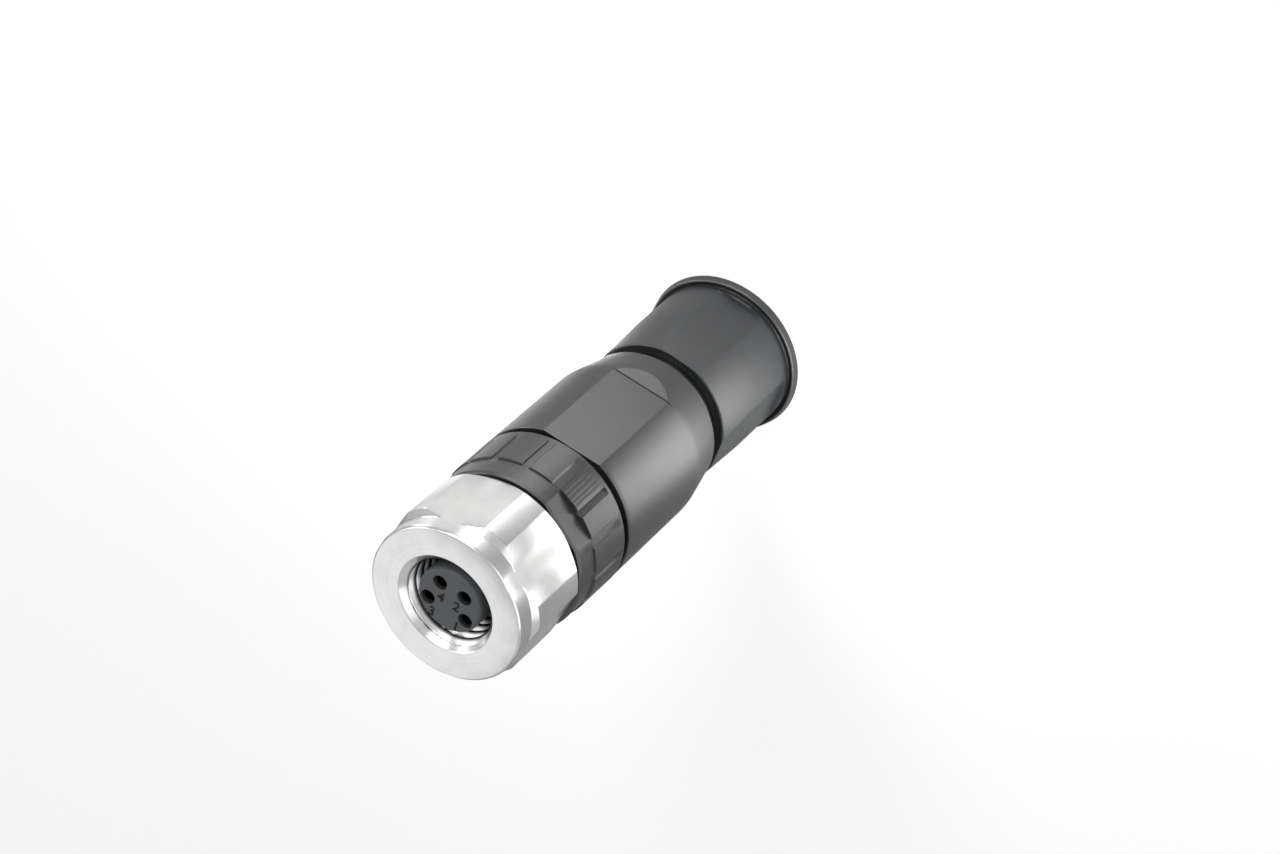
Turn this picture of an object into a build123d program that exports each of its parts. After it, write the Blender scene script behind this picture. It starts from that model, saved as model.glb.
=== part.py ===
"""Small round screw-on sensor connector, female, four contacts, wired in the field.

The connector stands on the flange of its gland nut, with its mating face up.
The axis is +Z, the origin is the middle of the standing face, and the housing's front flat faces -Y.
"""
from build123d import *
import math
import os

# Lengths along the axis, from the standing face up
gland_length = 11.05
groove_width = 1.35
housing_length = 14.5
collar_gap = 0.6
collar_length = 6.1
nut_gap = 0.15
nut_length = 7.75

# Fits
running_clearance = 0.05
seat_clearance = 0.1
contact_clearance = 0.03

# Outside radius of the sleeve, which the nut, the tread and the flange share
housing_radius = 7.0

# Coupling nut
nut_radius = housing_radius
nut_across_flats = 13.0
nut_turn = 18.5
nut_shoulder_radius = 6.55
nut_shoulder_length = 1.5
nut_shoulder_rise = 0.45
nut_rear_chamfer = 0.5
thread_minor_radius = 3.5
thread_length = 5.0
mouth_radius = 4.15

# Captive ring that holds the nut on the collar's neck
ring_height = 0.55
ring_width = 0.7
ring_split = 1.2
ring_seat_above_collar = 1.2
ring_engagement = 0.3

# Front collar
tread_height = 0.15
tread_swell = 0.08
collar_radius = housing_radius - tread_height
collar_across_flats = 13.0
collar_turn = 55.0
band_length = 2.0
pad_front_radius = housing_radius
pad_rear_radius = housing_radius + tread_swell
rim_length = 0.4
block_half_arc = 18.3
pad_arc = 17.7
pad_starts = (25.2, 48.0, 70.4)
slot_width = 0.84
slot_depth = 0.4
neck_radius = 4.4
neck_length = 2.6
neck_bore_radius = 3.1
spigot_radius = 5.7
spigot_length = 3.4
block_bore_radius = 4.3
insert_flange_length = 1.5
insert_seat_below_top = 0.6

# Contact insert
nose_radius = 2.75
nose_recess = 0.5
nose_edge = 0.3
hole_positions = ((-1.7, 0.85), (-1.1, -1.1), (1.7, 0.85), (1.1, -1.1))
hole_mouth_radius = 0.66
hole_lip_depth = 0.4

# Socket contacts
contact_radius = 0.66
socket_bore_radius = 0.52
socket_depth = 5.0
tail_width = 0.9

# Terminal block, clamps and screws
block_radius = 4.95
block_step_gap = 0.3
block_skirt_length = 4.5
clamp_angles = (153.0, 225.0, 27.0, 315.0)
clamp_inner_radius = 1.8
clamp_depth = 2.2
clamp_width = 2.1
clamp_length = 3.6
clamp_recess = 0.3
wire_mouth = 1.0
wire_mouth_depth = 3.0
screw_radius = 0.65
screw_tip_radius = 2.9
screw_end_inset = 0.35
screw_slot_width = 0.25
screw_slot_depth = 0.3

# Nose seal and collar seal
nose_seal_width = 0.55
nose_seal_height = 0.5
collar_seal_width = 0.75

# Housing
housing_across_flats = 13.0
flat_run_out_start = 10.3
flat_run_out_angle = 13.0
taper_start = 9.95
taper_ease_length = 1.0
taper_ease_drop = 0.09
housing_rear_radius = 6.2
thread_socket_depth = 3.9
wiring_space_length = 5.5
cable_passage_radius = 3.6
stub_radius = 5.35
stub_length = 7.4
seal_bore_radius = 4.35
seal_seat_below_face = 0.9

# Cable seal and clamping cage
seal_length = 4.3
seal_cable_radius = 2.6
cage_ring_length = 1.8
cage_cable_radius = 2.7
cage_tip_radius = 3.5
cage_tip_gap = 0.15
finger_count = 6
finger_slot_width = 0.6

# Gland nut
gland_front_radius = 6.2
gland_radius = 6.4
gland_swell_length = 4.85
gland_across_flats = 12.0
gland_turn = -2.5
flange_radius = housing_radius
flange_thickness = 0.7
flange_root = 0.45
gland_wall = 1.6
entry_radius = 2.9
stub_end_gap = 0.4

# Stations worked out from the lengths
gland_top = gland_length
housing_base = gland_top + groove_width
housing_top = housing_base + housing_length
collar_base = housing_top + collar_gap
collar_top = collar_base + collar_length
nut_base = collar_top + nut_gap
nut_top = nut_base + nut_length
neck_top = collar_top + neck_length
band_base = collar_top - band_length
spigot_base = collar_base - spigot_length
nose_top = nut_top - nose_recess
insert_seat = collar_top - insert_seat_below_top
insert_base = insert_seat - insert_flange_length
contact_top = nose_top - hole_lip_depth
skirt_top = spigot_base - block_step_gap
skirt_base = skirt_top - block_skirt_length
clamp_base = skirt_base + clamp_recess
clamp_top = clamp_base + clamp_length
screw_height = clamp_base + clamp_length / 2
ring_base = collar_top + ring_seat_above_collar
ring_outer_radius = neck_radius + ring_engagement
ring_inner_radius = ring_outer_radius - ring_width
stub_base = housing_base - stub_length
seal_seat = housing_base - seal_seat_below_face
seal_base = seal_seat - seal_length
cage_ring_base = seal_base - cage_ring_length
cage_radius = seal_bore_radius - running_clearance
cage_base = gland_wall + cage_tip_gap
gland_step = stub_base - stub_end_gap
reach = 2 * nut_radius


def turned(*outline):
    """Turn a closed (radius, height) outline about the axis."""
    return revolve(Plane.XZ * make_face(Polyline(*outline, close=True)), Axis.Z)


def rod(radius, low, high, at=(0, 0)):
    """Round bar along Z between two heights."""
    return Pos(at[0], at[1], low) * Cylinder(radius, high - low, align=(Align.CENTER, Align.CENTER, Align.MIN))


def bar(width, depth, low, high, inner, angle):
    """Block that starts at a radius and runs outward in the direction of angle."""
    block = Box(depth, width, high - low, align=(Align.MIN, Align.CENTER, Align.MIN))
    return Rot(0, 0, angle) * Pos(inner, 0, low) * block


def sector(low_radius, high_radius, low, high, first, last, inner):
    """Part of a cone's wall between two angles: low_radius and high_radius are its radii at its two ends."""
    wall = make_face(Polyline((inner, low), (low_radius, low), (high_radius, high), (inner, high), close=True))
    return Rot(0, 0, first) * revolve(Plane.XZ * wall, Axis.Z, last - first)


def flats(across, low, high, angles):
    """Blocks that leave a flat of the given width across flats at each angle."""
    cuts = [bar(reach, reach, low, high, across / 2, angle) for angle in angles]
    return Part() + cuts


def coupling_nut():
    """Hexagon turned down at its corners, with a round shoulder in front and a bore that clears the neck."""
    cone_start = nut_top - nut_shoulder_length
    bore_step = nut_top - thread_length
    bore = neck_radius + running_clearance
    mouth_depth = mouth_radius - thread_minor_radius
    body = turned((thread_minor_radius, bore_step), (thread_minor_radius, nut_top - mouth_depth),
                  (mouth_radius, nut_top), (nut_shoulder_radius, nut_top),
                  (nut_shoulder_radius, cone_start),
                  (nut_radius, cone_start - nut_shoulder_rise), (nut_radius, nut_base + nut_rear_chamfer),
                  (nut_radius - nut_rear_chamfer, nut_base), (bore, nut_base), (bore, bore_step))
    hexagon = extrude(RegularPolygon(nut_across_flats / 2, 6, major_radius=False, rotation=nut_turn), nut_length)
    groove = rod(ring_outer_radius + seat_clearance, ring_base - seat_clearance,
                 ring_base + ring_height + seat_clearance)
    return (body & (Pos(0, 0, nut_base) * hexagon)) - groove


def nut_retaining_ring():
    """Split ring that sits half in the neck's groove and half in the nut's."""
    ring = turned((ring_inner_radius, ring_base), (ring_outer_radius, ring_base),
                  (ring_outer_radius, ring_base + ring_height), (ring_inner_radius, ring_base + ring_height))
    return ring - bar(ring_split, reach, ring_base, ring_base + ring_height, 0, collar_turn)


def nose_seal():
    """Flat gasket round the foot of the nose."""
    inner = nose_radius + running_clearance
    outer = inner + nose_seal_width
    top = neck_top + nose_seal_height
    return turned((inner, neck_top), (outer, neck_top), (outer, top), (inner, top))


def collar_tread():
    """One half turn of the collar's raised tread: a block with a slot, and three pads on each side of it."""
    low = collar_base + rim_length
    spans = [(-block_half_arc, block_half_arc)]
    for start in pad_starts:
        spans += [(start, start + pad_arc), (-start - pad_arc, -start)]
    root = collar_radius - slot_depth
    tread = Part() + [sector(pad_rear_radius, pad_front_radius, low, band_base, first, last, root)
                      for first, last in spans]
    return tread - bar(slot_width, reach, low, band_base, root, 0)


def front_collar():
    """Screw collar: flats and tread outside, the nut's neck above and a threaded spigot below."""
    groove_floor = ring_inner_radius - seat_clearance
    body = turned((neck_bore_radius, neck_top), (neck_radius, neck_top), (neck_radius, ring_base + ring_height),
                  (groove_floor, ring_base + ring_height), (groove_floor, ring_base), (neck_radius, ring_base),
                  (neck_radius, collar_top), (collar_radius, collar_top), (collar_radius, collar_base + rim_length),
                  (pad_rear_radius, collar_base + rim_length), (pad_rear_radius, collar_base),
                  (spigot_radius, collar_base), (spigot_radius, spigot_base), (block_bore_radius, spigot_base),
                  (block_bore_radius, insert_seat), (neck_bore_radius, insert_seat))
    sides = (collar_turn, collar_turn + 180)
    body -= flats(collar_across_flats, band_base, collar_top, sides)
    for side in sides:
        body -= bar(slot_width, reach, collar_base + rim_length, band_base, collar_radius - slot_depth, side)
        body += Rot(0, 0, side) * collar_tread()
    return body


def contact_insert():
    """Insulating insert: a round nose with four contact holes, and a flange that seats in the collar."""
    body_radius = neck_bore_radius - running_clearance
    flange = block_bore_radius - running_clearance
    body = turned((0, insert_base), (flange, insert_base), (flange, insert_seat), (body_radius, insert_seat),
                  (body_radius, neck_top), (nose_radius, neck_top), (nose_radius, nose_top - nose_edge),
                  (nose_radius - nose_edge, nose_top), (0, nose_top))
    lip = socket_bore_radius + contact_clearance
    for place in hole_positions:
        mouth = turned((0, nose_top), (hole_mouth_radius, nose_top), (lip, contact_top), (0, contact_top))
        body -= Pos(place[0], place[1], 0) * mouth
        body -= rod(contact_radius + contact_clearance, insert_base, contact_top, place)
    return body


def post(width, low, high, place):
    """Square bar along Z between two heights."""
    return Pos(place[0], place[1], low) * Box(width, width, high - low, align=(Align.CENTER, Align.CENTER, Align.MIN))


def socket_contact(place):
    """Socket for one pin, with a square tail that ends on its clamp."""
    contact = rod(contact_radius, insert_base, contact_top, place)
    contact -= rod(socket_bore_radius, contact_top - socket_depth, contact_top, place)
    return contact + post(tail_width, clamp_top, insert_base, place)


def terminal_block():
    """Insulating block behind the insert, with a pocket, a tail hole and a screw window for each clamp."""
    fit = block_bore_radius - running_clearance
    block = turned((0, skirt_base), (block_radius, skirt_base), (block_radius, skirt_top), (fit, skirt_top),
                   (fit, insert_base), (0, insert_base))
    window = 2 * (screw_radius + running_clearance)
    for place, angle in zip(hole_positions, clamp_angles):
        block -= post(tail_width + 2 * contact_clearance, clamp_top, insert_base, place)
        block -= bar(clamp_width + 2 * running_clearance, clamp_depth + 2 * running_clearance, skirt_base,
                     clamp_top, clamp_inner_radius - running_clearance, angle)
        block -= bar(window, block_radius, screw_height - window / 2, screw_height + window / 2,
                     screw_tip_radius, angle)
    return block


def screw_bore(angle, end):
    """Round hole that clears a clamp screw, from the wire hole out to a radius."""
    start = screw_tip_radius
    hole = Cylinder(screw_radius + running_clearance, end - start + seat_clearance,
                    align=(Align.CENTER, Align.CENTER, Align.MIN))
    return Rot(0, 0, angle) * Pos(start, 0, screw_height) * Rot(0, 90, 0) * hole


def terminal_clamp(angle):
    """Metal clamp cage with a square wire mouth from below and a screw hole from the side."""
    clamp = bar(clamp_width, clamp_depth, clamp_base, clamp_top, clamp_inner_radius, angle)
    mouth_at = clamp_inner_radius + (clamp_depth - wire_mouth) / 2
    clamp -= bar(wire_mouth, wire_mouth, clamp_base, clamp_base + wire_mouth_depth, mouth_at, angle)
    return clamp - screw_bore(angle, clamp_inner_radius + clamp_depth)


def terminal_screws():
    """Four slotted clamp screws, one solid each."""
    length = block_radius - screw_end_inset - screw_tip_radius
    screw = Cylinder(screw_radius, length, align=(Align.CENTER, Align.CENTER, Align.MIN))
    slot = Box(3 * screw_radius, screw_slot_width, screw_slot_depth, align=(Align.CENTER, Align.CENTER, Align.MAX))
    screw -= Pos(0, 0, length) * slot
    placed = Pos(screw_tip_radius, 0, screw_height) * Rot(0, 90, 0) * screw
    return Compound([Rot(0, 0, angle) * placed for angle in clamp_angles])


def collar_seal():
    """Seal ring squeezed between the collar and the housing's front face."""
    inner = spigot_radius + running_clearance
    outer = inner + collar_seal_width
    return turned((inner, housing_top), (outer, housing_top), (outer, collar_base), (inner, collar_base))


def flat_cutter():
    """Cutter for one housing flat: a level cut that ramps up to the surface at its lower end."""
    half = housing_across_flats / 2
    turn_height = housing_top - flat_run_out_start
    drop = housing_radius
    out = half + drop * math.tan(math.radians(flat_run_out_angle))
    side = make_face(Polyline((half, housing_top), (half, turn_height), (out, turn_height - drop),
                              (out + reach, turn_height - drop), (out + reach, housing_top), close=True))
    return extrude(Plane.YZ * side, reach, both=True)


def housing():
    """Sleeve with two flats, a tapered rear, a threaded socket in front and a threaded stub behind."""
    taper_top = housing_top - taper_start
    socket = spigot_radius + running_clearance
    socket_base = housing_top - thread_socket_depth - wiring_space_length
    body = turned((socket, housing_top), (housing_radius, housing_top), (housing_radius, taper_top),
                  (housing_radius - taper_ease_drop, taper_top - taper_ease_length),
                  (housing_rear_radius, housing_base), (stub_radius, housing_base), (stub_radius, stub_base),
                  (seal_bore_radius, stub_base), (seal_bore_radius, seal_seat),
                  (cable_passage_radius, seal_seat), (cable_passage_radius, socket_base), (socket, socket_base))
    cutter = flat_cutter()
    return body - cutter - Rot(0, 0, 180) * cutter


def cable_seal():
    """Rubber sleeve that grips the cable."""
    outer = seal_bore_radius - running_clearance
    return turned((seal_cable_radius, seal_base), (outer, seal_base), (outer, seal_seat),
                  (seal_cable_radius, seal_seat))


def clamping_cage():
    """Ring with tapered fingers that the gland nut closes on the cable."""
    cage = turned((cage_cable_radius, seal_base), (cage_cable_radius, cage_base), (cage_tip_radius, cage_base),
                  (cage_radius, cage_ring_base), (cage_radius, seal_base))
    for i in range(finger_count):
        cage -= bar(finger_slot_width, reach, cage_base, cage_ring_base, 0, i * 360 / finger_count)
    return cage


def gland_bore():
    """Inside of the gland nut: thread for the stub, a cone for the fingers and the cable entry."""
    bore = stub_radius + running_clearance
    return turned((0, 0), (entry_radius, 0), (entry_radius, gland_wall), (cage_tip_radius + seat_clearance, gland_wall),
                  (cage_radius + seat_clearance, gland_step), (bore, gland_step), (bore, gland_top),
                  (0, gland_top))


def gland_nut():
    """Cap with four flats, swelling a little to the rear, and a thin flange that the connector stands on."""
    swell_end = gland_top - gland_swell_length
    body = turned((0, 0), (flange_radius, 0), (flange_radius, flange_thickness),
                  (gland_radius + flange_root, flange_thickness),
                  (gland_radius, flange_thickness + flange_root), (gland_radius, swell_end),
                  (gland_front_radius, gland_top), (0, gland_top))
    sides = [gland_turn - 90 * i for i in range(4)]
    body -= flats(gland_across_flats, flange_thickness + flange_root, gland_top, sides)
    return body - gland_bore()


parts = {
    "coupling_nut": coupling_nut(),
    "nut_retaining_ring": nut_retaining_ring(),
    "nose_seal": nose_seal(),
    "front_collar": front_collar(),
    "contact_insert": contact_insert(),
    "terminal_block": terminal_block(),
    "terminal_screws": terminal_screws(),
    "collar_seal": collar_seal(),
    "housing": housing(),
    "cable_seal": cable_seal(),
    "clamping_cage": clamping_cage(),
    "gland_nut": gland_nut(),
}
for number, (place, angle) in enumerate(zip(hole_positions, clamp_angles), 1):
    parts["socket_contact_%d" % number] = socket_contact(place)
    parts["terminal_clamp_%d" % number] = terminal_clamp(angle)

os.makedirs("parts", exist_ok=True)
for name, shape in parts.items():
    export_step(shape, "parts/" + name + ".step")
print("overall length", nut_top)
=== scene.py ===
import math

import bmesh
import bpy
import numpy as np
from mathutils import Matrix, Vector


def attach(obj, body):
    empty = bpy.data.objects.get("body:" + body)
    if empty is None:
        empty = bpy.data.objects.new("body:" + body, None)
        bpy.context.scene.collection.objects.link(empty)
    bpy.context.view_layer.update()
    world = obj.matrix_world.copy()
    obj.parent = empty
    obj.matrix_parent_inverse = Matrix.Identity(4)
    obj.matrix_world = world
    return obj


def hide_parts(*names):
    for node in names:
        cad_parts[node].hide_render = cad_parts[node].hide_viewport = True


# Small round sensor connector, standing on the flange of its gland nut with the mating face up.
# Lengths in the dictionaries are in millimetres, heights are counted from the standing face.

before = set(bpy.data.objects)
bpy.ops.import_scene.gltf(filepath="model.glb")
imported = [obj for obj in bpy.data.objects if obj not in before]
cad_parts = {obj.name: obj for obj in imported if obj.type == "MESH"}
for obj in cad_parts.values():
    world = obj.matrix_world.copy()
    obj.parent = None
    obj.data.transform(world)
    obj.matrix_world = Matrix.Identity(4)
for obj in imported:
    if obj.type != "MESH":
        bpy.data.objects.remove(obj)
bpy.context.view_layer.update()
mm = 0.001
print("frame loaded:", len(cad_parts), "nodes")


def softMin(a, b, blend):
    # the smaller of two lengths, less a quarter of a parabola where they are closer than blend
    near = np.clip(blend - np.abs(a - b), 0, None) / blend
    return np.minimum(a, b) - near ** 2 * blend / 4


def softCorners(loop, sizes, steps=3):
    # a closed profile (columns, corners, 2): each corner becomes a short parabola that leaves its two sides
    # at the given size, or at 0.45 of a side that is shorter than that
    before, after = np.roll(loop, 1, axis=1) - loop, np.roll(loop, -1, axis=1) - loop
    out = []
    for side in (before, after):
        length = np.linalg.norm(side, axis=2, keepdims=True)
        reach = np.minimum(np.asarray(sizes)[None, :, None], 0.45 * length)
        out.append(loop + side * reach / np.maximum(length, 1e-9))
    t = np.linspace(0, 1, steps)[None, None, :, None]
    a, b, corner = out[0][:, :, None], out[1][:, :, None], loop[:, :, None]
    bent = (1 - t) ** 2 * a + 2 * t * (1 - t) * corner + t ** 2 * b
    return bent.reshape(loop.shape[0], -1, 2)


def turnedGrid(profile, angles):
    # profile (columns, rows, 2) holds radius and height, and column i stands at angles[i]
    radius, height = profile[..., 0], profile[..., 1]
    turn = np.asarray(angles)
    turn = turn[:, None] if turn.ndim == 1 else turn
    return np.stack([radius * np.cos(turn), radius * np.sin(turn), height], axis=2)


def closedMesh(name, grid, sharp=28.0):
    # joins neighbouring points of a (columns, rows, 3) grid that closes on itself both ways
    columns, rows = grid.shape[:2]
    index = np.arange(columns * rows).reshape(columns, rows)
    right, up = np.roll(index, -1, axis=0), np.roll(index, -1, axis=1)
    across = np.roll(right, -1, axis=1)
    quads = np.stack([index, right, across, up], axis=2).reshape(-1, 4)
    mesh = bpy.data.meshes.new(name)
    mesh.from_pydata((grid.reshape(-1, 3) * mm).tolist(), [], quads.tolist())
    cleanMesh(mesh, sharp)
    piece = bpy.data.objects.new(name, mesh)
    bpy.context.scene.collection.objects.link(piece)
    return piece


def cleanMesh(mesh, sharp):
    # merges doubles, turns every face outwards and keeps real edges crisp
    work = bmesh.new()
    work.from_mesh(mesh)
    bmesh.ops.remove_doubles(work, verts=work.verts, dist=0.0005 * mm)
    bmesh.ops.dissolve_degenerate(work, edges=work.edges, dist=0.0005 * mm)
    bmesh.ops.recalc_face_normals(work, faces=work.faces)
    work.to_mesh(mesh)
    work.free()
    mesh.shade_smooth()
    mesh.set_sharp_from_angle(angle=math.radians(sharp))


def aroundWith(step, *close):
    # angles in degrees from 0 to 360, a step apart, with finer ones where close lists (centre, reach, count)
    sets = [np.arange(0, 360, step)]
    for centre, reach, count in close:
        sets.append((centre + np.linspace(-reach, reach, count)) % 360)
    angles = np.unique(np.round(np.concatenate(sets), 3))
    gap = np.diff(np.append(angles, angles[0] + 360))
    return np.radians(angles[gap > 0.02])


class Wire:
    # one output of a node, which takes part in sums as a number does
    def __init__(self, paint, socket):
        self.paint, self.socket = paint, socket

    def maths(self, operation, *values):
        return self.paint.add("ShaderNodeMath", {"operation": operation}, dict(enumerate(values)))

    def farFrom(self, middle):
        # the distance from a value, on either side of it
        return self.maths("ABSOLUTE", self - middle)

    def __add__(self, other):
        return self.maths("ADD", self, other)

    def __sub__(self, other):
        return self.maths("SUBTRACT", self, other)

    def __rsub__(self, other):
        return self.maths("SUBTRACT", other, self)

    def __mul__(self, other):
        return self.maths("MULTIPLY", self, other)

    def __pow__(self, other):
        return self.maths("POWER", self, other)

    __radd__, __rmul__ = __add__, __mul__


class Paint:
    # one material: add makes any node, the rest are short names for common ones
    def __init__(self, name, **fixed):
        self.material = bpy.data.materials.new(name)
        self.material.use_nodes = True
        self.tree = self.material.node_tree
        self.shader = self.tree.nodes["Principled BSDF"]
        for socket, value in fixed.items():
            self.shader.inputs[socket.replace("_", " ")].default_value = value
        place = self.add("ShaderNodeTexCoord", {}, {}, out="Object")
        self.place = self.add("ShaderNodeVectorMath", {"operation": "SCALE"}, {0: place, "Scale": 1 / mm})
        parts = self.add("ShaderNodeSeparateXYZ", {}, {0: self.place}, out=None)
        self.x, self.y, self.z = [Wire(self, s) for s in parts.outputs]
        self.radius = (self.x * self.x + self.y * self.y) ** 0.5

    def add(self, kind, settings, values, out=0):
        node = self.tree.nodes.new(kind)
        for key, value in settings.items():
            if key == "stops":
                ramp = node.color_ramp.elements
                while len(ramp) < len(value):
                    ramp.new(0.5)
                for stop, (at, shade) in zip(ramp, value):
                    stop.position, stop.color = at, (*shade, 1)
            else:
                setattr(node, key, value)
        for key, value in values.items():
            self.link(value, node.inputs[key])
        return node if out is None else Wire(self, node.outputs[out])

    def link(self, value, socket):
        if isinstance(value, Wire):
            self.tree.links.new(value.socket, socket)
        else:
            socket.default_value = value

    def grain(self, scale, detail=3.0, rough=0.55, at=None):
        return self.add("ShaderNodeTexNoise", {"noise_dimensions": "3D"},
                        {"Vector": at or self.place, "Scale": scale, "Detail": detail, "Roughness": rough})

    def stretched(self, x, y, z):
        return self.add("ShaderNodeCombineXYZ", {}, {0: x, 1: y, 2: z})

    def between(self, value, low, high, first, last):
        return self.add("ShaderNodeMapRange", {"clamp": True},
                        {"Value": value, "From Min": low, "From Max": high, "To Min": first, "To Max": last})

    def ramp(self, value, *stops):
        return self.add("ShaderNodeValToRGB", {"stops": stops}, {0: value})

    def colours(self, factor, first, last):
        return self.add("ShaderNodeMix", {"data_type": "RGBA"}, {0: factor, 6: first, 7: last}, out=2)

    def surface(self, **changing):
        for socket, value in changing.items():
            self.link(value, self.shader.inputs[socket.replace("_", " ")])

    def bump(self, height, depth, strength=1.0):
        # height is 0 to 1, and depth is the real depth in millimetres
        self.surface(Normal=self.add("ShaderNodeBump", {}, {"Height": height, "Distance": depth * mm,
                                                            "Strength": strength}, out="Normal"))


def grey(level, warm=0.0):
    return (level * (1 + warm), level, level * (1 - warm), 1.0)


# most noise lies between these two values, so roughness runs from its first to its last value between them
noiseSpan = (0.3, 0.7)

# scales are waves for each millimetre, the crest span is the radius over which the painted shade on the
# thread's crests fades, its tone is that shade's, and depth is the bump's in millimetres
nickelLook = {
    "ringScale": (9, 7), "fineScale": (42, 30), "cloudScale": 0.55, "speckScale": 14.0,
    "tones": ((0.30, (0.76, 0.757, 0.75)), (0.52, (0.84, 0.837, 0.83)), (0.75, (0.89, 0.888, 0.88))),
    "crestShade": (3.58, 3.74), "crestShadeTone": 0.05, "roughness": (0.16, 0.24), "depth": 0.005, "strength": 0.4,
}


def nickelPlate(s):
    # satin plate over turned and milled brass: fine rings on turned faces, a faint cloudy tone and soft
    # rubbed spots; the thread's crests beside the insert are painted dark as shade
    paint = Paint("nickelPlate", Metallic=1.0)
    (ringAcross, ringUp), (fineAcross, fineUp) = s["ringScale"], s["fineScale"]
    rings = paint.grain(1.0, 2.0, 0.6, paint.stretched(paint.radius * ringAcross, 0.0, paint.z * ringUp))
    fine = paint.grain(1.0, 2.0, 0.7, paint.stretched(paint.radius * fineAcross, 0.0, paint.z * fineUp))
    cloud = paint.grain(s["cloudScale"], 3.0)
    speck = paint.grain(s["speckScale"], 2.0)
    plate = paint.ramp(cloud * 0.6 + rings * 0.4, *s["tones"])
    # painted shade: the thread's crests beside the insert go dark towards the crest shade tone
    crestShade = paint.between(paint.radius, *s["crestShade"], 1.0, 0.0)
    paint.surface(Base_Color=paint.colours(crestShade, plate, grey(s["crestShadeTone"])),
                  Roughness=paint.between(speck * 0.5 + rings * 0.5, *noiseSpan, *s["roughness"]))
    paint.bump(fine * 0.6 + rings * 0.4, s["depth"], s["strength"])
    return paint.material


# what the black pieces share, with the near-black of painted shade in their recesses; tone, roughness and the
# depth of the pits stand with each piece
blackPlastic = {"gloss": 1.0, "index": 1.6, "warm": -0.08, "recessTone": 0.003}
plasticGrain = {
    "grainScale": 11.0, "cloudScale": 0.35, "flowScale": (0.9, 0.08), "shares": (0.35, 0.35, 0.3),
    "stops": (0.32, 0.70), "strength": 0.6,
}


def mouldedPlastic(name, s, paintedShade=None):
    # moulded plastic: fine eroded grain, slow clouds of tone and a few long flow marks. The mask function
    # passed in gives 1 where shade is painted into the colour with the near-black recess tone, and 0
    # elsewhere
    paint = Paint(name, Specular_IOR_Level=s["gloss"], IOR=s["index"])
    across, along = plasticGrain["flowScale"]
    grain = paint.grain(plasticGrain["grainScale"], 3.0, 0.6)
    cloud = paint.grain(plasticGrain["cloudScale"], 3.0)
    flow = paint.grain(1.0, 2.0, 0.5, paint.stretched(paint.x * across, paint.y * across, paint.z * along))
    grainShare, cloudShare, flowShare = plasticGrain["shares"]
    tone = grain * grainShare + cloud * cloudShare + flow * flowShare
    dark, light = [grey(level, s["warm"])[:3] for level in s["tone"]]
    colour = paint.ramp(tone, *zip(plasticGrain["stops"], (dark, light)))
    if paintedShade:
        # painted shade: where the mask is 1 the colour goes to the recess tone, as if in shadow
        colour = paint.colours(paintedShade(paint, s), colour, grey(s["recessTone"]))
    paint.surface(Base_Color=colour,
                  Roughness=paint.between(cloud * 0.5 + grain * 0.5, *noiseSpan, *s["roughness"]))
    paint.bump(grain, s["pits"], plasticGrain["strength"])
    return paint.material


rubberLook = {
    "bloomScale": 5.0, "tones": ((0.35, (0.012, 0.012, 0.012)), (0.75, (0.035, 0.035, 0.034))),
    "roughness": (0.65, 0.85), "pitScale": 22.0, "pits": 0.01, "strength": 0.7,
}


def sealRubber(s):
    # matt rubber with a dusty bloom
    paint = Paint("sealRubber")
    bloom = paint.grain(s["bloomScale"], 4.0)
    paint.surface(Base_Color=paint.ramp(bloom, *s["tones"]),
                  Roughness=paint.between(bloom, *noiseSpan, *s["roughness"]))
    paint.bump(paint.grain(s["pitScale"], 2.0), s["pits"], s["strength"])
    return paint.material


# gold plated contacts are painted nearly black above a set height, as shade deep in their holes
goldLook = {
    "tones": ((0.3, (0.72, 0.50, 0.20)), (0.7, (0.86, 0.64, 0.30))), "roughness": (0.22, 0.36),
    "holeShadeAbove": 38.0, "holeShadeTone": 0.03,
}
steelLook = {"tones": ((0.3, (0.42, 0.42, 0.42)), (0.7, (0.60, 0.60, 0.59))), "roughness": (0.24, 0.38)}
drawnMarks = {"acrossScale": 4, "alongScale": 26, "cloudScale": 1.4, "depth": 0.006, "strength": 0.5}


def drawnMetal(name, s):
    # turned or drawn metal with fine cross marks
    paint = Paint(name, Metallic=1.0)
    across, along = drawnMarks["acrossScale"], drawnMarks["alongScale"]
    marks = paint.grain(1.0, 2.0, 0.6, paint.stretched(paint.x * across, paint.y * across, paint.z * along))
    cloud = paint.grain(drawnMarks["cloudScale"], 3.0)
    colour = paint.ramp(marks * 0.5 + cloud * 0.5, *s["tones"])
    # painted shade: above that height the contacts' colour goes nearly black
    if "holeShadeAbove" in s:
        holeShade = paint.between(paint.z, s["holeShadeAbove"] - 1, s["holeShadeAbove"], 0.0, 1.0)
        colour = paint.colours(holeShade, colour, grey(s["holeShadeTone"]))
    paint.surface(Base_Color=colour, Roughness=paint.between(marks, *noiseSpan, *s["roughness"]))
    paint.bump(marks, drawnMarks["depth"], drawnMarks["strength"])
    return paint.material


def finish(piece, material, body, slot, *nodes):
    # a made piece: its material, the body it rides on, its record slot, which is not used, and the nodes it
    # stands for
    piece.data.materials.append(material)
    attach(piece, body)
    if nodes:
        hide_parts(*nodes)
    print("made", piece.name, len(piece.data.vertices), "points")


nutSize = {
    "top": 41.5, "base": 33.75, "radius": 7.0, "apothem": 6.5, "turn": 48.5,
    "faceRadius": 6.4, "faceEdge": 0.15, "shoulderRadius": 6.55, "shoulderLength": 1.5, "shoulderRise": 0.45,
    "rearRadius": 6.5, "rearChamfer": 0.5, "boreRadius": 4.45, "boreTop": 36.5,
    "threadRadius": 3.5, "threadDepth": 0.5, "pitch": 1.0, "mouthRadius": 4.15, "threadRows": 132,
    "cornerBlend": 0.03,
}


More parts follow.
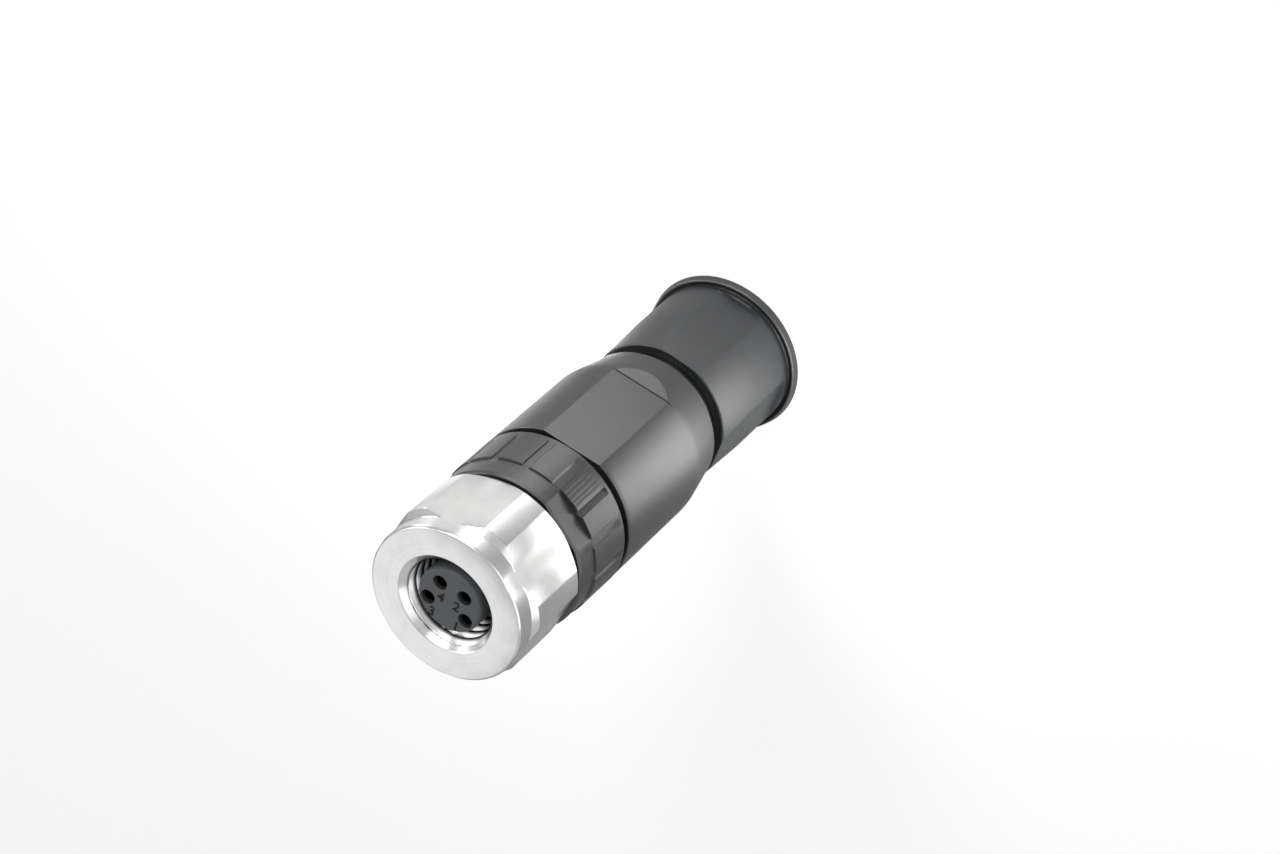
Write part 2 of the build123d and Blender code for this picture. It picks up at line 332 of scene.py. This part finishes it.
def couplingNut(s):
    # each column is the turned outline, held inside a limit that is the hexagon's flat over the cosine of
    # the angle from its middle or the turned radius, whichever is smaller. The thread's radius grows by a V
    # over height in pitches less the angle in turns, and the mouth's cone cuts it away
    corner = math.degrees(math.acos(s["apothem"] / s["radius"]))
    close = [(s["turn"] + 60 * k + side * corner, 2.4, 13) for k in range(6) for side in (-1, 1)]
    angles = aroundWith(2.5, *close)
    fromMiddle = (np.degrees(angles) - s["turn"] + 30) % 60 - 30
    limit = softMin(s["apothem"] / np.cos(np.radians(fromMiddle)), s["radius"], s["cornerBlend"])
    coneTop, top, base = s["top"] - s["shoulderLength"], s["top"], s["base"]
    rise = np.clip((limit - s["shoulderRadius"]) / (s["radius"] - s["shoulderRadius"]), 0, 1)
    fall = np.clip((limit - s["rearRadius"]) / (s["radius"] - s["rearRadius"]), 0, 1)
    shoulder = np.minimum(s["shoulderRadius"], limit)
    flat = np.ones_like(limit)
    # radius, height and size of rounding at each corner of the outline
    corners = [
        (s["mouthRadius"] * flat, top * flat, 0.05),
        (s["faceRadius"] * flat, top * flat, 0.05),
        (shoulder, (top - s["faceEdge"]) * flat, 0.05),
        (shoulder, coneTop * flat, 0.04),
        (limit, coneTop - s["shoulderRise"] * rise, 0.05),
        (limit, base + s["rearChamfer"] * fall, 0.05),
        (np.minimum(limit, s["rearRadius"]), base * flat, 0.05),
        (s["boreRadius"] * flat, base * flat, 0.1),
        (s["boreRadius"] * flat, s["boreTop"] * flat, 0.02),
        (s["threadRadius"] * flat, s["boreTop"] * flat, 0.02),
    ]
    loop = np.stack([np.stack([r, z], axis=1) for r, z, size in corners], axis=1)
    outline = softCorners(loop, [size for r, z, size in corners])
    # the first corner's three points are dropped, because the thread's last row is the mouth's edge
    outline = outline[:, 3:]
    height = np.linspace(s["boreTop"], top, s["threadRows"])[None, :]
    wave = np.abs(2 * ((height / s["pitch"] - angles[:, None] / (2 * np.pi)) % 1) - 1)
    depth = s["threadDepth"] * np.clip(1.2 * (1 - wave) - 0.1, 0, 1)
    cone = s["mouthRadius"] + height - top
    radius = np.maximum(s["threadRadius"] + depth, cone)
    radius[:, -1] = s["mouthRadius"] + 0.02
    thread = np.stack([radius, np.broadcast_to(height, radius.shape)], axis=2)
    return closedMesh("couplingNutShell", turnedGrid(np.concatenate([outline, thread], axis=1), angles))


nickel = nickelPlate(nickelLook)
nut = couplingNut(nutSize)
finish(nut, nickel, "nut", "nickel_brass", "coupling_nut")


collarSize = {
    "top": 33.6, "base": 27.5, "radius": 6.85, "edge": 0.15, "bandBase": 31.6, "rimTop": 27.9,
    "apothem": 6.5, "turn": 55.0, "padFront": 7.0, "padRear": 7.03, "padDepth": 0.11, "rimEdge": 0.15,
    "pads": ((-88.1, -70.4, 0.3, 0.3), (-65.7, -48.0, 0.3, 1.4), (-42.9, -25.2, 0.3, 0.3),
             (-18.3, 18.3, 0.3, 0.6), (25.2, 42.9, 1.4, 0.3), (48.0, 65.7, 0.3, 0.3),
             (70.4, 88.1, 0.3, 0.3)),
    "ribs": (5.7, 8.4, 11.8, 15.0), "ribHalf": 0.55, "ribDepth": 0.016,
    "lines": (-18.3, 42.9, 48.0), "lineWidth": 0.7, "lineDepth": 0.06,
    "slot": (-3.3, 1.2, 3.6), "slotWall": 0.3, "slotStep": 0.22, "slotDepth": (0.30, 0.14), "slotRise": 0.10,
    "slotLip": 0.07, "fadeFrom": 0.88, "bandBlend": 0.02, "soft": 0.03,
    "neckRadius": 4.4, "neckTop": 36.2, "neckBore": 3.1, "ringGroove": (3.9, 35.35, 34.8),
    "spigotRadius": 5.7, "spigotBase": 24.1, "spigotEdge": 0.3, "innerRadius": 4.3, "seat": 33.0,
    "tone": (0.014, 0.022), "roughness": (0.28, 0.38), "pits": 0.012, **blackPlastic,
}


def stepUp(angle, edge, width):
    # 0 before an edge and 1 after it, with a straight ramp of the given width between
    return np.clip((angle - edge) / width + 0.5, 0, 1)


def frontCollar(s):
    # the outside radius is a function of angle and height: a band with two flats above, and a tread below.
    # The tread's depth below its pads is padDepth between them, plus fine lines cut like saw teeth and V
    # ribs, and in each block a slot whose floor slopes across, with a sloping lip; all but the slot fades out
    # by the rim. The pattern repeats after half a turn, and close lists the angles that need finer columns
    half, soft = 180.0, s["soft"]
    steps = [(edge, width) for first, last, w1, w2 in s["pads"] for edge, width in ((first, w1), (last, w2))]
    steps += [(edge, s["slotWall"]) for edge in s["slot"]]
    lineReach = s["lineWidth"] / 2
    close = []
    for start in (s["turn"], s["turn"] + half):
        close += [(start + edge, width * 0.8 + 0.1, 6) for edge, width in steps]
        close += [(start + edge - lineReach + 0.03, lineReach + 0.03, 6) for edge in s["lines"]]
        close += [(start + edge, s["ribHalf"], 5) for edge in s["ribs"]]
    angles = aroundWith(3.0, *close)
    at = (np.degrees(angles) - s["turn"] + half / 2) % half - half / 2
    pad = sum(stepUp(at, a, w1) * stepUp(-at, -b, w2) for a, b, w1, w2 in s["pads"])
    floorStart, floorEnd, lipEnd = s["slot"]
    intoSlot, outOfFloor = stepUp(at, floorStart, s["slotStep"]), stepUp(at, floorEnd, s["slotStep"])
    inSlot = intoSlot * stepUp(-at, -floorEnd, s["slotStep"])
    lip = np.clip((lipEnd - at) / (lipEnd - floorEnd), 0, 1) * outOfFloor
    fine = sum(np.clip(1 - (line - at) / s["lineWidth"], 0, 1) * (at <= line + 0.01) for line in s["lines"])
    rib = sum(np.clip(1 - np.abs(at - middle) / s["ribHalf"], 0, 1) for middle in s["ribs"])
    fine = s["lineDepth"] * fine + s["ribDepth"] * rib
    band = softMin(s["apothem"] / np.cos(np.radians(np.clip(at, -60, 60))), s["radius"], s["bandBlend"])

    def tread(level):
        # radius of the tread, with level 0 at the band and 1 at the rim
        top = s["padFront"] + (s["padRear"] - s["padFront"]) * level
        fade = min((1 - level) / (1 - s["fadeFrom"]), 1)
        across = np.clip((at - floorStart) / (floorEnd - floorStart), 0, 1)
        deep, shallow = s["slotDepth"]
        slotDepth = shallow + (deep - shallow) * across - s["slotRise"] * level
        depth = fade * (s["padDepth"] * (1 - pad) + fine)
        return top - depth * (1 - inSlot) - slotDepth * inSlot - s["slotLip"] * fade * lip * (1 - inSlot)

    def heightAt(level):
        return s["bandBase"] + (s["rimTop"] - s["bandBase"]) * level

    one = np.ones_like(angles)
    base, rim, edge = s["base"], s["padRear"], s["rimEdge"]
    grooveRadius, grooveTop, grooveBase = s["ringGroove"]
    outer = [
        (s["neckBore"] * one, s["neckTop"]), (s["neckRadius"] * one, s["neckTop"]),
        (s["neckRadius"] * one, grooveTop), (grooveRadius * one, grooveTop),
        (grooveRadius * one, grooveBase), (s["neckRadius"] * one, grooveBase),
        (s["neckRadius"] * one, s["top"]), (band - s["edge"], s["top"]), (band, s["top"] - s["edge"]),
        (band, s["bandBase"] + soft), (tread(0) - soft, s["bandBase"]), (tread(0), s["bandBase"] - 0.04),
    ]
    outer += [(tread(level), heightAt(level)) for level in (0.3, 0.6, s["fadeFrom"], 0.99)]
    outer += [
        (rim * one, s["rimTop"] - soft), (rim * one, base + edge),
        ((rim - 0.3 * edge) * one, base + 0.3 * edge), ((rim - edge) * one, base),
        (s["spigotRadius"] * one, base), (s["spigotRadius"] * one, s["spigotBase"] + s["spigotEdge"]),
        ((s["spigotRadius"] - s["spigotEdge"]) * one, s["spigotBase"]),
        (s["innerRadius"] * one, s["spigotBase"]), (s["innerRadius"] * one, s["seat"]),
        (s["neckBore"] * one, s["seat"]),
    ]
    profile = np.stack([np.stack([r, z * one], axis=1) for r, z in outer], axis=1)
    return closedMesh("frontCollarShell", turnedGrid(profile, angles), 22.0)


def collarPaintedShade(paint, s):
    # painted shade: 1 at the step between band and tread, a third of that where no pad stands over it, and 1
    # on each slot's floor
    pad = s["padFront"]
    proud = paint.between(paint.radius, pad - s["padDepth"] + 0.01, pad - 0.04, 0.35, 1.0)
    step = paint.between(paint.z.farFrom(s["bandBase"]), 0.03, 0.07, 1.0, 0.0) * proud
    low = paint.between(paint.radius, pad - 0.2, pad - 0.14, 1.0, 0.0)
    slot = low * paint.between(paint.z, s["bandBase"] - 0.05, s["bandBase"], 1.0, 0.0)
    return step + slot - step * slot


collar = frontCollar(collarSize)
collarPlastic = mouldedPlastic("collarPlastic", collarSize, collarPaintedShade)
finish(collar, collarPlastic, "front", "black_plastic", "front_collar")


sleeveSize = {
    "top": 26.9, "base": 12.4, "radius": 7.0, "frontEdge": 0.09, "rearRadius": 6.2, "rearEdge": 0.15,
    "apothem": 6.5, "flatEnd": 16.6, "runOut": 8.5, "creaseHalf": 0.09, "creaseDepth": 0.16,
    "taperTop": 16.45, "taperBlend": 0.116,
    "stubRadius": 5.35, "stubBase": 5.0, "ridgeRadius": 5.68, "ridge": (12.05, 11.75),
    "socketRadius": 5.75, "socketBase": 17.5, "passage": 3.6, "sealSeat": 11.5, "sealRadius": 4.35,
    "rows": ((26.4, 17.4, 12), (17.3, 16.7, 5), (16.5, 15.0, 34), (14.9, 12.7, 8)),
    "flatBlend": 0.025, "ridgeEdge": 0.05,
    "tone": (0.014, 0.022), "roughness": (0.27, 0.35), "pits": 0.012, **blackPlastic,
}


def housingSleeve(s):
    # radius is the smaller of the turned outline and the flat's distance over the cosine of the angle from
    # its middle; past the flat's end that distance grows along a ramp, which makes the rounded end of the
    # flat. The rows are closer where the outline bends
    corner = math.degrees(math.acos(s["apothem"] / s["radius"]))
    close = [(270 + 180 * k + side * corner, 2.2, 12) for k in (0, 1) for side in (-1, 1)]
    angles = aroundWith(1.5, *close)
    fromMiddle = np.radians((np.degrees(angles) - 270 + 90) % 180 - 90)
    top, base = s["top"], s["base"]
    rows = [top - s["frontEdge"] * np.array((0, 0.1, 0.35, 0.65, 1)),
            s["flatEnd"] + s["creaseHalf"] * np.array((1, 0.5, 0, -0.5, -1)),
            base + np.array((s["rearEdge"], 0.08, 0.03, 0))]
    rows += [np.linspace(*span) for span in s["rows"]]
    heights = np.unique(np.round(np.concatenate(rows), 3))[::-1]
    slope = (s["radius"] - s["rearRadius"]) / (s["taperTop"] - base)
    taper = s["radius"] - (s["taperTop"] - heights) * slope
    turned = softMin(taper, s["radius"], s["taperBlend"])
    drop = np.clip(heights - (top - s["frontEdge"]), 0, None)
    turned = turned - (s["frontEdge"] - np.sqrt(s["frontEdge"] ** 2 - drop ** 2))
    drop = np.clip(base + s["rearEdge"] - heights, 0, None)
    turned = turned - (s["rearEdge"] - np.sqrt(s["rearEdge"] ** 2 - drop ** 2))
    away = s["apothem"] + np.clip(s["flatEnd"] - heights, 0, None) * math.tan(math.radians(s["runOut"]))
    away = away - s["creaseDepth"] * np.clip(1 - np.abs(heights - s["flatEnd"]) / s["creaseHalf"], 0, 1)
    flat = away[None, :] / np.maximum(np.cos(fromMiddle), 0.2)[:, None]
    radius = softMin(turned[None, :], flat, s["flatBlend"])
    skin = np.stack([radius, np.broadcast_to(heights, radius.shape)], axis=2)
    stub, ridge, edge = s["stubRadius"], s["ridgeRadius"], s["ridgeEdge"]
    ridgeTop, ridgeBase = s["ridge"]
    rest = [(stub, base), (stub, ridgeTop + edge), (ridge - edge, ridgeTop), (ridge, ridgeTop - edge),
            (ridge, ridgeBase + edge), (ridge - edge, ridgeBase), (stub, ridgeBase - edge),
            (stub, s["stubBase"]), (s["sealRadius"], s["stubBase"]), (s["sealRadius"], s["sealSeat"]),
            (s["passage"], s["sealSeat"]), (s["passage"], s["socketBase"]),
            (s["socketRadius"], s["socketBase"]), (s["socketRadius"], top)]
    inside = np.broadcast_to(np.array(rest)[None], (len(angles), len(rest), 2))
    return closedMesh("housingSleeve", turnedGrid(np.concatenate([skin, inside], axis=1), angles), 24.0)


def sleevePaintedShade(paint, s):
    # painted shade: 1 on the stub in the groove and in the crease where each flat starts to rise
    stub = paint.between(paint.z, s["base"] - 0.08, s["base"] - 0.02, 1.0, 0.0)
    crease = paint.between(paint.z.farFrom(s["flatEnd"]), s["creaseHalf"] / 2, s["creaseHalf"], 1.0, 0.0)
    onFlat = paint.between(paint.y.maths("ABSOLUTE", paint.y).farFrom(s["apothem"]), 0.1, 0.14, 1.0, 0.0)
    return stub + crease * onFlat


sleeve = housingSleeve(sleeveSize)
sleevePlastic = mouldedPlastic("sleevePlastic", sleeveSize, sleevePaintedShade)
finish(sleeve, sleevePlastic, "sleeve", "black_plastic", "housing")


glandSize = {
    "top": 11.05, "frontRadius": 6.2, "radius": 6.4, "swellEnd": 6.2, "frontEdge": 0.12,
    "apothem": 6.0, "turn": -2.5, "flatEnd": 1.15, "flatRunOut": 0.06, "flatBlend": 0.03,
    "flangeRadius": 7.0, "flangeTop": 0.7, "flangeEdge": 0.14, "flangeChamfer": 0.08, "draft": 0.11,
    "root": 0.10, "hollow": 0.25, "entryRadius": 2.9, "entryEdge": 0.3, "wall": 1.6,
    "coneBottom": 3.6, "coneTop": 4.4, "step": 4.6, "bore": 5.4,
    "tone": (0.022, 0.033), "roughness": (0.31, 0.42), "pits": 0.028, **blackPlastic,
}


def glandCap(s):
    # the turned outline with four flats, each held inside its distance over the cosine of the angle from its
    # middle, down to a short step above the flange, which has a slanted, rounded rim and a hollow inside it
    corner = math.degrees(math.acos(s["apothem"] / s["radius"]))
    close = [(s["turn"] + 90 * k + side * (corner - 3), 4.5, 22) for k in range(4) for side in (-1, 1)]
    angles = aroundWith(2.5, *close)
    fromMiddle = np.radians((np.degrees(angles) - s["turn"] + 45) % 90 - 45)
    top = s["top"]
    swellEnd, flatEnd = s["swellEnd"], s["flatEnd"]
    rows = [top - np.array((0, 0.05, 0.1, 0.15, s["frontEdge"])), np.linspace(top - 0.5, swellEnd + 0.3, 14),
            swellEnd + np.array((0.1, 0, -0.15)), np.linspace(5.5, flatEnd + 0.3, 8),
            flatEnd + np.array((0.12, 0.04, 0, -0.04))]
    heights = np.concatenate(rows)
    swell = np.clip((top - heights) / (top - swellEnd), 0, 1)
    turned = s["frontRadius"] + (s["radius"] - s["frontRadius"]) * swell
    drop = np.clip(heights - (top - s["frontEdge"]), 0, None)
    turned = turned - (s["frontEdge"] - np.sqrt(np.clip(s["frontEdge"] ** 2 - drop ** 2, 0, None)))
    away = s["apothem"] + np.clip((flatEnd + 0.02 - heights) / s["flatRunOut"], 0, 1)
    flat = away[None, :] / np.cos(fromMiddle)[:, None]
    radius = softMin(turned[None, :], flat, s["flatBlend"])
    skin = np.stack([radius, np.broadcast_to(heights, radius.shape)], axis=2)
    edge, shoulder = s["flangeEdge"], s["flangeRadius"] - s["draft"]
    root = [(s["radius"] - 0.02, s["flangeTop"]), (s["radius"] + s["root"], s["flangeTop"] - s["hollow"]),
            (shoulder - edge, s["flangeTop"] - 0.02)]
    edgeArc = [(shoulder - edge + edge * math.sin(a), s["flangeTop"] - edge + edge * math.cos(a))
               for a in np.radians((0, 22, 45, 68, 90))]
    chamfer = s["flangeChamfer"]
    inside = [(s["flangeRadius"], chamfer), (s["flangeRadius"] - chamfer, 0),
              (s["entryRadius"] + s["entryEdge"], 0), (s["entryRadius"], s["entryEdge"]),
              (s["entryRadius"], s["wall"]), (s["coneBottom"], s["wall"]),
              (s["coneTop"], s["step"]), (s["bore"], s["step"]), (s["bore"], top)]
    rest = root + edgeArc + inside
    below = np.broadcast_to(np.array(rest)[None], (len(angles), len(rest), 2))
    return closedMesh("glandCap", turnedGrid(np.concatenate([skin, below], axis=1), angles), 24.0)


def glandPaintedShade(paint, s):
    # painted shade: 1 in the hollow between the cap and its flange's edge
    low, high = s["flangeTop"] - s["hollow"], s["flangeTop"] + 0.02
    under = paint.between(paint.z, high, high + 0.1, 1.0, 0.0)
    over = paint.between(paint.z, low - 0.1, low - 0.03, 0.0, 1.0)
    rim = s["flangeRadius"]
    return under * over * paint.between(paint.radius, rim - 0.3, rim - 0.2, 1.0, 0.0)


gland = glandCap(glandSize)
glandPlastic = mouldedPlastic("glandPlastic", glandSize, glandPaintedShade)
finish(gland, glandPlastic, "gland", "black_plastic", "gland_nut")


insertSize = {
    "base": 31.5, "seat": 33.0, "flangeRadius": 4.25, "bodyRadius": 3.05, "neckTop": 36.2,
    "noseRadius": 2.75, "noseTop": 41.0, "noseEdge": 0.3,
    "holes": ((-1.7, 0.85), (-1.1, -1.1), (1.7, 0.85), (1.1, -1.1)),
    "holeRadius": 0.60, "holeEdge": 0.05, "innerRadius": 0.47, "innerTop": 40.66, "socketTop": 40.61,
    "socketRadius": 0.69,
    "tone": (0.165, 0.205), "roughness": (0.50, 0.62), "gloss": 0.5, "index": 1.5, "warm": -0.04,
    "pits": 0.012, "recessTone": 0.010,
}


def closedTurning(name, outline, angles, at=(0, 0)):
    # turns a (radius, height) outline that starts and ends on the axis
    profile = np.broadcast_to(np.array(outline, float)[None], (len(angles), len(outline), 2))
    grid = turnedGrid(profile, angles)
    grid[..., 0] += at[0]
    grid[..., 1] += at[1]
    return closedMesh(name, grid)


def contactInsert(s):
    # a turned nose with a rounded edge; four turned cutters make the stepped contact holes
    bend = np.radians(np.linspace(0, 90, 6))
    e, r, top = s["noseEdge"], s["noseRadius"], s["noseTop"]
    outline = [(0, s["base"]), (s["flangeRadius"], s["base"]), (s["flangeRadius"], s["seat"]),
               (s["bodyRadius"], s["seat"]), (s["bodyRadius"], s["neckTop"]), (r, s["neckTop"])]
    outline += [(r - e + e * math.cos(a), top - e + e * math.sin(a)) for a in bend] + [(0, top)]
    body = closedTurning("contactInsertBody", outline, np.radians(np.arange(0, 360, 3.0)))
    above, below = top + 1.0, s["base"] - 1.0
    wide = s["holeRadius"] + s["holeEdge"]
    hole = [(0, above), (wide, above), (wide, top), (s["holeRadius"], top - s["holeEdge"]),
            (s["innerRadius"], s["innerTop"]), (s["innerRadius"], s["socketTop"]),
            (s["socketRadius"], s["socketTop"]), (s["socketRadius"], below), (0, below)]
    for place in s["holes"]:
        cutter = closedTurning("holeCutter", hole, np.radians(np.arange(0, 360, 7.5)), place)
        cut = body.modifiers.new("hole", "BOOLEAN")
        cut.operation, cut.solver, cut.object = "DIFFERENCE", "EXACT", cutter
        bpy.context.view_layer.update()
        done = bpy.data.meshes.new_from_object(body.evaluated_get(bpy.context.evaluated_depsgraph_get()))
        body.modifiers.clear()
        body.data = done
        bpy.data.objects.remove(cutter)
    body.data.materials.clear()
    cleanMesh(body.data, 28.0)
    return body


def insertPaintedShade(paint, s):
    # painted shade: 1 inside the contact holes, which lie in pairs on both sides of x = 0, and 0 on the face
    side = paint.x.maths("ABSOLUTE", paint.x)
    away = [((side - abs(x)) ** 2 + (paint.y - y) ** 2) ** 0.5 for x, y in s["holes"][:2]]
    near = away[0].maths("MINIMUM", away[0], away[1])
    inside = paint.between(near, s["holeRadius"], s["holeRadius"] + 0.04, 1.0, 0.0)
    return inside * paint.between(paint.z, s["noseTop"] - 0.06, s["noseTop"] - 0.03, 1.0, 0.0)


insert = contactInsert(insertSize)
insertPlastic = mouldedPlastic("insertPlastic", insertSize, insertPaintedShade)
finish(insert, insertPlastic, "front", "insert_plastic", "contact_insert")

numberSize = {
    "height": 0.86, "stroke": 0.028, "proud": 0.02, "face": 41.0,
    "places": {"1": (-1.14, 1.87), "2": (-0.72, 0.10), "3": (1.05, 1.91), "4": (0.67, 0.13)},
    "tone": (0.006, 0.010), "roughness": (0.45, 0.55), "gloss": 0.3, "index": 1.5, "warm": -0.04,
    "pits": 0.006,
}


def contactNumbers(s):
    # plain numerals, drawn as text, made a mesh and set on the nose's face with their heads towards the flat
    parts = []
    for word, place in s["places"].items():
        curve = bpy.data.curves.new("number" + word, "FONT")
        curve.body, curve.size = word, s["height"] * 1.35
        curve.align_x, curve.align_y = "CENTER", "CENTER"
        curve.extrude, curve.offset = s["proud"], s["stroke"]
        drawn = bpy.data.objects.new("number" + word, curve)
        bpy.context.scene.collection.objects.link(drawn)
        bpy.context.view_layer.update()
        mesh = bpy.data.meshes.new_from_object(drawn.evaluated_get(bpy.context.evaluated_depsgraph_get()))
        bpy.data.objects.remove(drawn)
        turn = Matrix.Rotation(math.pi, 4, "Z")
        mesh.transform(Matrix.Scale(mm, 4) @ Matrix.Translation((place[0], place[1], s["face"])) @ turn)
        parts.append(mesh)
    points, faces = [], []
    for mesh in parts:
        start = len(points)
        points += [tuple(v.co) for v in mesh.vertices]
        faces += [[start + i for i in p.vertices] for p in mesh.polygons]
    joined = bpy.data.meshes.new("contactNumbers")
    joined.from_pydata(points, [], faces)
    cleanMesh(joined, 30.0)
    piece = bpy.data.objects.new("contactNumbers", joined)
    bpy.context.scene.collection.objects.link(piece)
    return piece


numbers = contactNumbers(numberSize)
numberPlastic = mouldedPlastic("numberPlastic", numberSize)
finish(numbers, numberPlastic, "front", "insert_plastic")


rubber = sealRubber(rubberLook)
goldPlate = drawnMetal("goldPlate", goldLook)
springSteel = drawnMetal("springSteel", steelLook)

keptFinish = {
    "nut_retaining_ring": springSteel, "nose_seal": rubber, "collar_seal": rubber, "cable_seal": rubber,
    "terminal_block": insertPlastic, "clamping_cage": insertPlastic, "terminal_screws": springSteel,
}
for number in "1234":
    keptFinish["socket_contact_" + number] = goldPlate
    keptFinish["terminal_clamp_" + number] = nickel
for node, material in keptFinish.items():
    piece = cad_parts[node]
    if piece.material_slots:
        for place in piece.material_slots:
            place.material = material
    else:
        piece.data.materials.append(material)
print("kept nodes painted:", len(keptFinish))


# the floor's size and level are in metres
stageSize = {
    "floorHalf": 0.9, "floorLevel": -0.00002, "floorRoughness": 0.9, "white": 0.86, "mottle": 0.01,
    "mottleScale": 0.02, "lift": 0.64, "glossLift": 0.06,
    "world": (0.975, 0.985, 1.0), "worldStrength": 0.07, "worldGloss": 0.55,
}


def paleFloor(s):
    # a level white sheet; seen straight or in a gloss it is lifted towards white and keeps its shadow
    half, level = s["floorHalf"], s["floorLevel"]
    mesh = bpy.data.meshes.new("paleFloor")
    corners = [(-half, -half, level), (half, -half, level), (half, half, level), (-half, half, level)]
    mesh.from_pydata(corners, [], [(0, 1, 2, 3)])
    floor = bpy.data.objects.new("paleFloor", mesh)
    bpy.context.scene.collection.objects.link(floor)
    paint = Paint("floorSheet", Roughness=s["floorRoughness"], Emission_Strength=s["lift"])
    rays = paint.add("ShaderNodeLightPath", {}, {}, out=None).outputs
    kinds = ("Camera", "Glossy", "Transmission")
    straight, gloss, through = [Wire(paint, rays["Is %s Ray" % kind]) for kind in kinds]
    seen = straight + through + gloss * s["glossLift"]
    cloud = paint.grain(s["mottleScale"], 2.0)
    white, mottle = s["white"], s["mottle"]
    paint.surface(Base_Color=paint.colours(cloud, grey(white - mottle), grey(white + mottle)),
                  Emission_Color=paint.colours(seen, grey(0.0), grey(1.0)))
    floor.data.materials.append(paint.material)


paleFloor(stageSize)


def studioWorld(s):
    # an even sky: dim as a light, brighter where a gloss mirrors it, like the white walls of a light tent,
    # and white where the camera sees it
    world = bpy.data.worlds.new("studio")
    bpy.context.scene.world = world
    world.use_nodes = True
    nodes, links = world.node_tree.nodes, world.node_tree.links
    rays = nodes.new("ShaderNodeLightPath")
    mirrored, seen = [nodes.new("ShaderNodeMapRange") for step in range(2)]
    mirrored.inputs["To Min"].default_value = s["worldStrength"]
    mirrored.inputs["To Max"].default_value = s["worldGloss"]
    links.new(rays.outputs["Is Glossy Ray"], mirrored.inputs["Value"])
    links.new(mirrored.outputs["Result"], seen.inputs["To Min"])
    links.new(rays.outputs["Is Camera Ray"], seen.inputs["Value"])
    sky = nodes["Background"]
    sky.inputs["Color"].default_value = (*s["world"], 1)
    links.new(seen.outputs["Result"], sky.inputs["Strength"])


studioWorld(stageSize)

# the upright sides mirror the floor close by, so small lamps that shine straight down on it make the bright
# bands there; low strips and wide panels shine at the object and fill in from the side and from above.
# Each has its angle round the object, its distance away, its level, its width and depth, and its power, and
# the aimed ones their rise above the level
poolSize = {
    "poolBand": {"angle": 204, "away": 25, "level": 6, "size": (18, 24), "power": 0.0070},
    "poolFlat": {"angle": 291, "away": 29, "level": 6, "size": (18, 18), "power": 0.0015},
    "poolBack": {"angle": 40, "away": 28, "level": 9, "size": (26, 26), "power": 0.0030},
    "poolTaper": {"angle": 36, "away": 13, "level": 3, "size": (7, 9), "power": 0.0010},
    "poolNutFront": {"angle": 291, "away": 50, "level": 9, "size": (28, 28), "power": 0.0050},
    "poolNutSide": {"angle": 328, "away": 50, "level": 9, "size": (28, 28), "power": 0.0012},
    "poolNutBack": {"angle": 15, "away": 50, "level": 9, "size": (28, 28), "power": 0.0012},
}
aimedSize = {
    "stripLeft": {"angle": 210, "rise": 0, "away": 85, "level": 7, "size": (27, 12), "power": 0.012},
    "stripFront": {"angle": 285, "rise": 0, "away": 85, "level": 7, "size": (27, 12), "power": 0.010},
    "stripRight": {"angle": 345, "rise": 0, "away": 85, "level": 7, "size": (27, 12), "power": 0.012},
    "panelFront": {"angle": 300, "rise": 38, "away": 350, "level": 20, "size": (200, 200), "power": 0.26},
    "panelLeft": {"angle": 200, "rise": 33, "away": 350, "level": 20, "size": (500, 240), "power": 0.30},
    "panelRight": {"angle": 0, "rise": 38, "away": 350, "level": 20, "size": (200, 200), "power": 0.12},
    "panelBack": {"angle": 60, "rise": 38, "away": 350, "level": 20, "size": (200, 200), "power": 0.05},
}
lampAim = Vector((0, 0, 22))


def softLamps(lamps, aim=None):
    # a lamp's place is its distance along its angle and rise, above its level; it shines at aim, or else
    # straight down
    for name, s in lamps.items():
        data = bpy.data.lights.new(name, "AREA")
        data.shape, data.size, data.size_y = "RECTANGLE", s["size"][0] * mm, s["size"][1] * mm
        data.energy = s["power"]
        lamp = bpy.data.objects.new(name, data)
        turn, rise = math.radians(s["angle"]), math.radians(s.get("rise", 0))
        reach = Vector((math.cos(turn) * math.cos(rise), math.sin(turn) * math.cos(rise), math.sin(rise)))
        place = reach * s["away"] + Vector((0, 0, s["level"]))
        towards = aim - place if aim else Vector((0, 0, -1))
        tilt = towards.to_track_quat("-Z", "Y").to_matrix().to_4x4()
        lamp.matrix_world = Matrix.Translation(place * mm) @ tilt
        lamp.visible_camera = False
        bpy.context.scene.collection.objects.link(lamp)


softLamps(poolSize)
softLamps(aimedSize, lampAim)

cameraSize = {
    "place": (-63.277, -163.782, 197.845), "right": (-0.81974, -0.25846, -0.5111),
    "up": (0.51593, -0.72072, -0.46302), "lens": 90.0, "sensor": 36.0, "clip": (0.01, 5.0),
}


def photoCamera(s):
    # the camera's axes are written out, so the picture keeps the photograph's view and turn
    right, up = Vector(s["right"]).normalized(), Vector(s["up"]).normalized()
    back = right.cross(up).normalized()
    up = back.cross(right)
    data = bpy.data.cameras.new("photoCamera")
    data.lens, data.sensor_width, data.sensor_fit = s["lens"], s["sensor"], "HORIZONTAL"
    data.clip_start, data.clip_end = s["clip"]
    camera = bpy.data.objects.new("photoCamera", data)
    turn = Matrix((right, up, back)).transposed().to_4x4()
    camera.matrix_world = Matrix.Translation(Vector(s["place"]) * mm) @ turn
    bpy.context.scene.collection.objects.link(camera)
    bpy.context.scene.camera = camera


photoCamera(cameraSize)
bpy.context.scene.view_settings.view_transform = "Standard"
print("stage, lamps and camera set")
